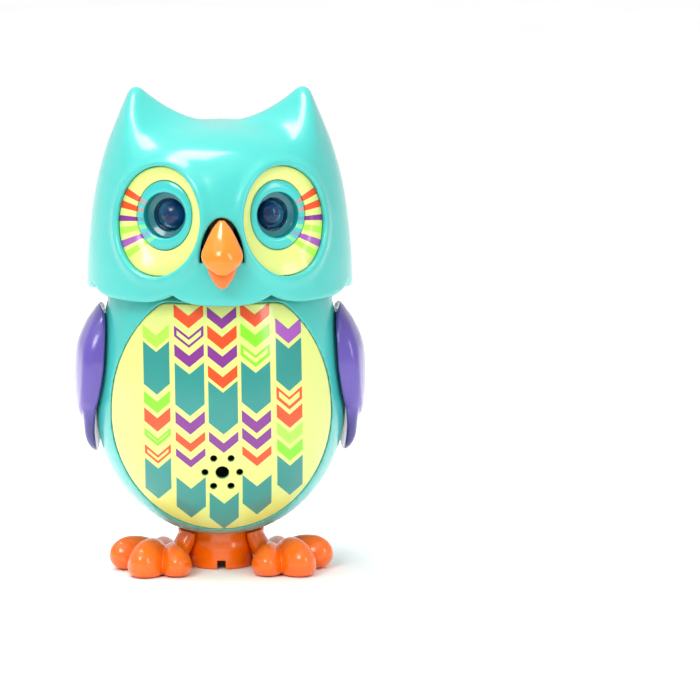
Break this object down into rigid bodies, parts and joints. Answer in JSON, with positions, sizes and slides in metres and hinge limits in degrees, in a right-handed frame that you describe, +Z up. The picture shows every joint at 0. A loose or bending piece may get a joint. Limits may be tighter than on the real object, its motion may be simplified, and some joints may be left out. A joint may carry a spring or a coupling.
{
  "type": "toy owl",
  "caption": "Hard plastic talking owl toy: turning domed head with lit eyes and a beak that opens, flapping wings, egg body on toed feet with a perch socket.",
  "frame": {"origin": "on the floor, on the axis of the round perch socket under the body", "axes": "+Z up along the body's axis, +X to the owl's own left, -Y the way the owl faces"},
  "size_m": [0.0596, 0.0602, 0.0989],
  "materials": {
    "teal_shell": "gloss, moulded ABS, turquoise",
    "lime_panel": "gloss with printed chevrons, yellow-green",
    "violet_wing": "gloss, moulded ABS, violet",
    "orange_plastic": "gloss, moulded ABS, orange",
    "eye_dish": "gloss with printed rays, yellow-green",
    "eye_ring": "gloss, translucent turquoise",
    "eye_dome": "gloss, clear tinted lens",
    "led": "clear epoxy",
    "steel": "zinc plated",
    "spring_steel": "drawn spring wire",
    "magnet": "nickel plated magnet",
    "copper": "enamelled copper winding",
    "brass": "turned brass",
    "board": "green solder mask",
    "black_plastic": "black moulded plastic",
    "white_gear": "natural acetal",
    "cone": "paper cone",
    "lead": "PVC insulated lead"
  },
  "bodies": {
    "body": {"body_front_shell": "teal_shell", "body_rear_shell": "teal_shell", "belly_panel": "lime_panel", "body_screws": "steel", "perch_base": "orange_plastic", "base_screws": "steel", "foot_left": "orange_plastic", "foot_right": "orange_plastic", "neck_bush": "white_gear", "neck_washer": "white_gear", "head_motor": "steel", "gear_plate": "black_plastic", "gear_plate_screws": "steel", "wing_coil": "copper", "wing_spring": "spring_steel", "wing_pins": "steel", "main_board": "board", "board_parts": "black_plastic", "board_screws": "steel", "speaker": "black_plastic", "speaker_cone": "cone", "battery_tray": "black_plastic", "button_cells": "steel", "battery_contacts": "spring_steel", "switch_housing": "black_plastic", "body_harness": "lead", "body_leads": "lead"},
    "door": {"battery_door": "teal_shell", "battery_door_screw": "steel"},
    "power_knob": {"switch_knob": "black_plastic"},
    "head": {"head_front_shell": "teal_shell", "head_rear_shell": "teal_shell", "head_screws": "steel", "head_base_plate": "teal_shell", "neck_ring_gear": "white_gear", "neck_clip": "spring_steel", "eye_dish_left": "eye_dish", "eye_dish_right": "eye_dish", "eye_ring_left": "eye_ring", "eye_ring_right": "eye_ring", "eye_dome_left": "eye_dome", "eye_dome_right": "eye_dome", "eye_led_left": "led", "eye_led_right": "led", "eye_board": "board", "eye_board_screws": "steel", "beak_bracket": "black_plastic", "beak_pin": "steel", "beak_lower": "orange_plastic", "beak_coil": "copper", "head_harness": "lead"},
    "beak": {"beak_upper": "orange_plastic", "beak_magnet": "magnet"},
    "idler": {"idler_gear": "white_gear"},
    "motor_rotor": {"motor_pinion": "brass"},
    "wing_lifter_ring": {"wing_lifter": "white_gear", "wing_magnet": "magnet"},
    "left_wing": {"wing_left": "violet_wing"},
    "right_wing": {"wing_right": "violet_wing"}
  },
  "joints": [
    {"name": "head_turn", "type": "hinge", "parent": "body", "child": "head", "pos_m": [0, 0, 0.059], "axis": [0, 0, 1], "range_deg": [-45, 45]},
    {"name": "idler_spin", "type": "hinge", "parent": "body", "child": "idler", "pos_m": [0, 0.015, 0.055], "axis": [0, 0, 1], "range_deg": [-181, 181]},
    {"name": "motor_spin", "type": "hinge", "parent": "body", "child": "motor_rotor", "pos_m": [0.00799, 0.01209, 0.052], "axis": [0, 0, 1], "range_deg": [-331, 331]},
    {"name": "wing_lift", "type": "slide", "parent": "body", "child": "wing_lifter_ring", "axis": [0, 0, -1], "range_m": [0, 0.0042], "stiffness_N_per_m": 60, "springref_m": -0.004, "deforming": ["wing_spring"]},
    {"name": "wing_left_flap", "type": "hinge", "parent": "body", "child": "left_wing", "pos_m": [0.0202, 0, 0.0515], "axis": [0, -1, 0], "range_deg": [0, 20.01]},
    {"name": "wing_right_flap", "type": "hinge", "parent": "body", "child": "right_wing", "pos_m": [-0.0202, 0, 0.0515], "axis": [0, 1, 0], "range_deg": [0, 20.01]},
    {"name": "beak_open", "type": "hinge", "parent": "head", "child": "beak", "pos_m": [0, -0.0215, 0.0732], "axis": [-1, 0, 0], "range_deg": [0, 12]},
    {"name": "power_switch", "type": "slide", "parent": "body", "child": "power_knob", "axis": [1, 0, 0], "range_m": [0, 0.004]},
    {"name": "door_lift_off", "type": "slide", "parent": "body", "child": "door", "axis": [0, 1, 0], "range_m": [0, 0.02]}
  ],
  "couplings": [
    {"joint": "idler_spin", "follows": "head_turn", "ratio": -4},
    {"joint": "motor_spin", "follows": "head_turn", "ratio": 7.3333},
    {"joint": "wing_left_flap", "follows": "wing_lift", "rad_per_m": 83.111},
    {"joint": "wing_right_flap", "follows": "wing_lift", "rad_per_m": 83.111}
  ]
}
